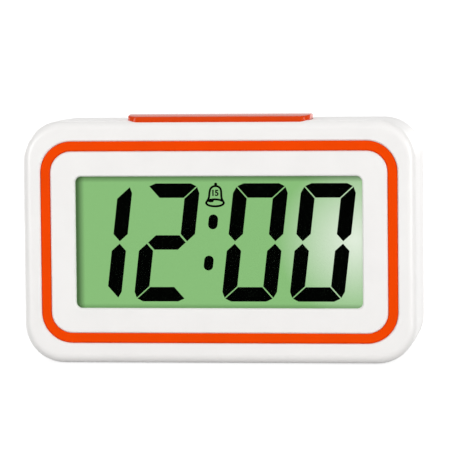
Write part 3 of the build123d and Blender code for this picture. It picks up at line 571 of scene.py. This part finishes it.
def talk_spring():
    """One coil that stands on the origin along +Z."""
    bpy.ops.object.select_all(action="DESELECT")
    bpy.ops.mesh.primitive_circle_add(
        vertices=spring_wire_sides, radius=spring_wire_radius, rotation=(math.pi / 2, 0.0, 0.0),
        location=(spring_radius, 0.0, spring_foot),
    )
    bpy.ops.object.transform_apply(location=True, rotation=True)
    piece = bpy.context.object
    wind = piece.modifiers.new("wind", "SCREW")
    wind.axis = "Z"
    wind.screw_offset = (spring_room - 2 * spring_foot) / spring_turns
    wind.iterations = spring_turns
    wind.steps = spring_steps
    wind.render_steps = spring_steps
    bpy.ops.object.modifier_apply(modifier=wind.name)
    bpy.ops.object.mode_set(mode="EDIT")
    bpy.ops.mesh.select_all(action="SELECT")
    bpy.ops.mesh.fill_holes(sides=0)
    bpy.ops.mesh.select_all(action="SELECT")
    bpy.ops.mesh.normals_make_consistent(inside=False)
    bpy.ops.object.mode_set(mode="OBJECT")
    bpy.ops.object.shade_smooth_by_angle(angle=spring_smooth)
    return piece


def spread(first, places, name, head_to_tail=False):
    """Puts a copy of a piece at each place, every second one turned if head to tail, and joins them."""
    copies = []
    for index, place in enumerate(places):
        copy = first.copy()
        copy.data = first.data.copy()
        bpy.context.collection.objects.link(copy)
        if head_to_tail:
            select_only(copy)
            copy.rotation_euler = (0.0, 0.0, index * math.pi)
            bpy.ops.object.transform_apply(rotation=True)
        settle(copy, place)
        copies.append(copy)
    bpy.data.objects.remove(first)
    return joined(copies, name)


spring_places = [at(side * spring_across, spring_inwards, spring_seat) for side in (-1.0, 1.0)]
wound_springs = spread(talk_spring(), spring_places, "wound_springs")
wound_springs.data.materials.append(drawn_wire)
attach(wound_springs, "case")
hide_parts("talk_springs")
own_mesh(wound_springs)

# Rear case. The back and the rear half of the walls are a second white moulding from a coarser tool,
# with sound slots, button holes and the battery compartment formed in it.
rear_moulding = finish("rear_moulding", white_colour, roughness=0.45, grain=0.0006, relief=0.00003)
dress(rear_moulding, "rear_case")

# Case screws. Four plated pan-head screws with cross recesses hold the two halves together, deep in
# wells in the back.
screw_sides = 40
screw_head_radius = 0.0027
screw_head_height = 0.0018
screw_head_round = 0.0006
screw_head_steps = 4
screw_shank_radius = 0.00125
screw_shank_length = 0.0130
screw_tip = 0.0004
screw_tip_share = 0.6
screw_smooth = math.radians(40.0)
recess_reach = 0.0017
recess_width = 0.00062
recess_depth = 0.0011
recess_floor_share = 0.45
screw_across = 0.0553
screw_inwards = 0.02015
screw_low_row = -0.0275
screw_high_row = 0.0300
head_way = Vector((0.0, 1.0, 0.0))
tip_way = -head_way
squarely = 0.99


def pick(piece, way):
    """Selects the faces of a piece that face one way squarely, and nothing else, for edit mode."""
    bpy.ops.object.mode_set(mode="EDIT")
    bpy.ops.mesh.select_mode(type="FACE")
    bpy.ops.mesh.select_all(action="DESELECT")
    bpy.ops.object.mode_set(mode="OBJECT")
    for face in piece.data.polygons:
        face.select = face.normal.dot(way) > squarely
    bpy.ops.object.mode_set(mode="EDIT")


def cut_slot(piece, turn):
    """Cuts one tapered slot of the cross recess into a screw's head."""
    bpy.ops.object.select_all(action="DESELECT")
    bpy.ops.mesh.primitive_cube_add(size=1.0, location=(0.0, screw_head_height, 0.0))
    cutter = bpy.context.object
    cutter.scale = (2 * recess_reach, 2 * recess_depth, recess_width)
    cutter.rotation_euler = (0.0, turn, 0.0)
    bpy.ops.object.transform_apply(location=True, rotation=True, scale=True)
    pick(cutter, tip_way)
    bpy.ops.transform.resize(value=(recess_floor_share, 1.0, recess_floor_share))
    bpy.ops.object.mode_set(mode="OBJECT")
    cut = piece.modifiers.new("recess", "BOOLEAN")
    cut.operation = "DIFFERENCE"
    cut.object = cutter
    select_only(piece)
    bpy.ops.object.modifier_apply(modifier=cut.name)
    bpy.data.objects.remove(cutter)


def case_screw():
    """One screw standing on the origin: its seat at zero, its head along +Y and its shank along -Y."""
    bpy.ops.object.select_all(action="DESELECT")
    bpy.ops.mesh.primitive_cylinder_add(
        vertices=screw_sides, radius=screw_head_radius, depth=screw_head_height,
        rotation=(-math.pi / 2, 0.0, 0.0), location=(0.0, screw_head_height / 2, 0.0),
    )
    bpy.ops.object.transform_apply(location=True, rotation=True)
    piece = bpy.context.object
    pick(piece, head_way)
    bpy.ops.mesh.bevel(offset=screw_head_round, segments=screw_head_steps, affect="EDGES")
    bpy.ops.object.mode_set(mode="OBJECT")
    pick(piece, tip_way)
    bpy.ops.mesh.inset(thickness=screw_head_radius - screw_shank_radius)
    push(tip_way * (screw_shank_length - screw_tip))
    push(tip_way * screw_tip)
    bpy.ops.transform.resize(value=(screw_tip_share, 1.0, screw_tip_share))
    bpy.ops.object.mode_set(mode="OBJECT")
    cut_slot(piece, turn=0.0)
    cut_slot(piece, turn=math.pi / 2)
    bpy.ops.object.shade_smooth_by_angle(angle=screw_smooth)
    return piece


screw_places = [
    at(side * screw_across, screw_inwards, row)
    for side in (-1.0, 1.0)
    for row in (screw_low_row, screw_high_row)
]
cross_screws = spread(case_screw(), screw_places, "cross_screws")
cross_screws.data.materials.append(zinc_plate)
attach(cross_screws, "case")
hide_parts("case_screws")

# Set buttons. Four orange buttons for mode, hour, minute and alarm stand through the back. Behind each
# one a push switch with a black plunger sits on a narrow board, joined to the main board by a ribbon.
ribbon_pale = (0.40, 0.40, 0.42)
ribbon_dark = (0.22, 0.22, 0.24)
ribbon_pitch = 0.0010
ribbon_jacket = striped("ribbon_jacket", ribbon_pale, ribbon_dark, ribbon_pitch, roughness=0.6)
for key in ("mode", "hour", "minute", "alarm"):
    dress(orange_moulding, key + "_button")
    dress(black_moulding, key + "_switch_plunger")
dress(black_moulding, "key_switch_bodies")
dress(zinc_plate, "key_board_screws")
dress(ribbon_jacket, "key_ribbon")

# Loudspeaker. A pressed steel basket carries a black paper cone behind the sound slots and a ferrite
# magnet behind that. Two screws hold its rim, and two red leads run to the main board.
ferrite_colour = (0.05, 0.05, 0.055)
paper_colour = (0.022, 0.021, 0.020)
red_colour = (0.45, 0.02, 0.02)
ferrite = finish("ferrite", ferrite_colour, roughness=0.6, grain=0.0004, drift=0.2)
pressed_paper = finish(
    "pressed_paper", paper_colour, roughness=0.9, grain=0.0007, drift=0.4, relief=0.00012
)
red_jacket = finish("red_jacket", red_colour, roughness=0.45, grain=0.0004, drift=0.1)
dress(zinc_plate, "speaker_basket", "speaker_screws")
dress(ferrite, "speaker_magnet")
dress(pressed_paper, "speaker_cone")
dress(red_jacket, "speaker_leads", "battery_leads")

# Cells. Two AAA cells lie head to tail in the compartment. Each is a steel can in a plain printed
# jacket that is shrunk over its rims, with a raised cap at one end and a flat base at the other.
dark_colour = (0.035, 0.045, 0.060)
line_colour = (0.72, 0.72, 0.70)
band_colour = (0.060, 0.230, 0.330)
can_sides = 48
can_radius = 0.00525
can_length = 0.0435
band_length = 0.0120
line_length = 0.0006
rim_round = 0.0004
rim_width = 0.0006
rim_steps = 3
cap_sink = 0.0004
cap_radius = 0.0029
cap_rise = 0.0006
nub_radius = 0.0019
nub_height = 0.0010
nub_round = 0.0003
cell_smooth = math.radians(35.0)
cell_inwards = 0.02875
low_cell_across = 0.01905
low_cell_row = -0.01555
high_cell_across = 0.01545
high_cell_row = -0.00445
cap_way = Vector((1.0, 0.0, 0.0))
base_way = -cap_way
jacket_dark = finish("jacket_dark", dark_colour, roughness=0.28, grain=0.0005, drift=0.2)
jacket_line = finish("jacket_line", line_colour, roughness=0.30, grain=0.0005)
jacket_band = finish("jacket_band", band_colour, roughness=0.28, grain=0.0005, drift=0.1)
cell_finishes = (jacket_dark, jacket_line, jacket_band, zinc_plate)


def cell_finish(face):
    """The finish of one face: bare metal inside the rims, then the band, the line and the dark part."""
    line_start = can_length / 2 - band_length - line_length
    inside_rim = can_radius - rim_round - rim_width / 2
    from_axis = math.hypot(face.center.y, face.center.z)
    if from_axis < inside_rim and abs(face.center.x) > can_length / 2 - 2 * cap_sink:
        return zinc_plate
    if face.center.x > line_start + line_length:
        return jacket_band
    if face.center.x > line_start:
        return jacket_line
    return jacket_dark


def cell():
    """One cell along the X axis, its can centred on the origin and its cap towards +X."""
    dark_length = can_length - band_length - line_length
    bpy.ops.object.select_all(action="DESELECT")
    bpy.ops.mesh.primitive_cylinder_add(
        vertices=can_sides, radius=can_radius, depth=dark_length, rotation=(0.0, math.pi / 2, 0.0),
        location=(dark_length / 2 - can_length / 2, 0.0, 0.0),
    )
    bpy.ops.object.transform_apply(location=True, rotation=True)
    piece = bpy.context.object
    pick(piece, cap_way)
    push(cap_way * line_length)
    push(cap_way * band_length)
    bpy.ops.mesh.bevel(offset=rim_round, segments=rim_steps, affect="EDGES")
    bpy.ops.object.mode_set(mode="OBJECT")
    pick(piece, cap_way)
    bpy.ops.mesh.inset(thickness=rim_width)
    push(base_way * cap_sink)
    bpy.ops.mesh.inset(thickness=can_radius - rim_round - rim_width - cap_radius)
    push(cap_way * cap_rise)
    bpy.ops.mesh.inset(thickness=cap_radius - nub_radius)
    push(cap_way * (nub_height + cap_sink - cap_rise))
    bpy.ops.mesh.bevel(offset=nub_round, segments=rim_steps, affect="EDGES")
    bpy.ops.object.mode_set(mode="OBJECT")
    pick(piece, base_way)
    bpy.ops.mesh.bevel(offset=rim_round, segments=rim_steps, affect="EDGES")
    bpy.ops.object.mode_set(mode="OBJECT")
    pick(piece, base_way)
    bpy.ops.mesh.inset(thickness=rim_width)
    push(cap_way * (cap_sink / 2))
    bpy.ops.object.mode_set(mode="OBJECT")
    for material in cell_finishes:
        piece.data.materials.append(material)
    for face in piece.data.polygons:
        face.material_index = cell_finishes.index(cell_finish(face))
    bpy.ops.object.shade_smooth_by_angle(angle=cell_smooth)
    return piece


cell_places = [
    at(low_cell_across, cell_inwards, low_cell_row),
    at(high_cell_across, cell_inwards, high_cell_row),
]
jacketed_cells = spread(cell(), cell_places, "jacketed_cells", head_to_tail=True)
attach(jacketed_cells, "case")
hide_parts("aaa_cells")

# Battery contacts. Nickel-plated strips stand at both ends of the compartment: one bridge, two end
# plates with solder tabs, and a coil of plated wire for the base of each cell.
dress(nickel_plate, "bridge_plate", "positive_plate", "negative_plate")
dress(drawn_wire, "cell_springs")

# Battery door. A white moulding from the same tool as the back swings on its lower edge and has a
# ribbed thumb tab at its upper edge.
dress(rear_moulding, "battery_door")

# Camera. A long lens looks from a little to the right and above, as the photograph was taken, and is
# turned slightly about its own axis.
view_azimuth = math.radians(7.592)
view_elevation = math.radians(12.0)
view_roll = math.radians(-1.618)
view_distance = 1.2
view_limit = 20.0
lens_pixels = 3660.0
image_pixels = 452.0
aim_across = 0.002625
aim_inwards = -0.00385
aim_upwards = 0.005409
aim = at(aim_across, aim_inwards, aim_upwards)
back = Vector((
    math.sin(view_azimuth) * math.cos(view_elevation),
    -math.cos(view_azimuth) * math.cos(view_elevation),
    math.sin(view_elevation),
))
bpy.ops.object.camera_add(location=aim + back * view_distance)
camera = bpy.context.object
camera.rotation_euler = (-back).to_track_quat("-Z", "Y").to_euler()
camera.rotation_euler.rotate_axis("Z", view_roll)
camera.data.lens = lens_pixels / image_pixels * camera.data.sensor_width
camera.data.clip_end = view_limit
bpy.context.scene.camera = camera

# Table and light. The clock stands on a plain table in soft studio light: a lamp on each side in
# front, one above, three behind and even light all round. The table throws little light back
# under the case, and is seen as white.
table_width = 12.0
table_colour = (0.36, 0.36, 0.36)
table_roughness = 0.9
table_seen = 0.78
world_light = 0.45
white_light = (1.0, 1.0, 1.0, 1.0)


def seen_rays(tree):
    """One where a surface is seen straight, in gloss or through glass, nought for the light it throws."""
    path = tree.nodes.new("ShaderNodeLightPath")
    straight_or_gloss = tree.nodes.new("ShaderNodeMath")
    straight_or_gloss.operation = "MAXIMUM"
    any_sight = tree.nodes.new("ShaderNodeMath")
    any_sight.operation = "MAXIMUM"
    tree.links.new(path.outputs["Is Camera Ray"], straight_or_gloss.inputs[0])
    tree.links.new(path.outputs["Is Glossy Ray"], straight_or_gloss.inputs[1])
    tree.links.new(straight_or_gloss.outputs["Value"], any_sight.inputs[0])
    tree.links.new(path.outputs["Is Transmission Ray"], any_sight.inputs[1])
    return any_sight.outputs["Value"]


def table_finish():
    """Matt grey paint that is seen as white."""
    material = bpy.data.materials.new("table_paint")
    material.use_nodes = True
    tree = material.node_tree
    shader = tree.nodes["Principled BSDF"]
    shader.inputs["Base Color"].default_value = tint(table_colour)
    shader.inputs["Roughness"].default_value = table_roughness
    shader.inputs["Emission Color"].default_value = white_light
    glow = tree.nodes.new("ShaderNodeMath")
    glow.operation = "MULTIPLY"
    glow.inputs[1].default_value = table_seen
    tree.links.new(seen_rays(tree), glow.inputs[0])
    tree.links.new(glow.outputs["Value"], shader.inputs["Emission Strength"])
    return material


def studio_light():
    """Even white light from all round, seen as white."""
    world = bpy.data.worlds.new("studio")
    world.use_nodes = True
    tree = world.node_tree
    sky = tree.nodes["Background"]
    sky.inputs["Color"].default_value = white_light
    level = tree.nodes.new("ShaderNodeMapRange")
    level.inputs["To Min"].default_value = world_light
    level.inputs["To Max"].default_value = 1.0
    tree.links.new(seen_rays(tree), level.inputs["Value"])
    tree.links.new(level.outputs["Result"], sky.inputs["Strength"])
    return world


def lamp(name, place, size, power):
    """A square studio lamp that faces the clock."""
    bpy.ops.object.light_add(type="AREA", location=place)
    light = bpy.context.object
    light.name = name
    light.data.size = size
    light.data.energy = power
    light.rotation_euler = (cell_centre - Vector(place)).to_track_quat("-Z", "Y").to_euler()


bpy.ops.mesh.primitive_plane_add(size=table_width, location=(0.0, 0.0, 0.0))
table = bpy.context.object
table.name = "table"
table.data.materials.append(table_finish())
bpy.context.scene.world = studio_light()
lamp("left_lamp", place=(-0.78, -0.88, 0.34), size=0.40, power=6.1)
lamp("right_lamp", place=(0.93, -0.62, 0.30), size=0.40, power=6.8)
lamp("top_lamp", place=(0.05, 0.30, 0.95), size=0.50, power=0.4)
lamp("back_lamp", place=(-0.15, 0.95, 0.70), size=0.40, power=1.0)
lamp("back_left_lamp", place=(-0.95, 0.95, 0.20), size=0.40, power=4.2)
lamp("back_right_lamp", place=(0.75, 1.20, 0.20), size=0.40, power=3.7)

bpy.context.scene.view_settings.view_transform = "Standard"
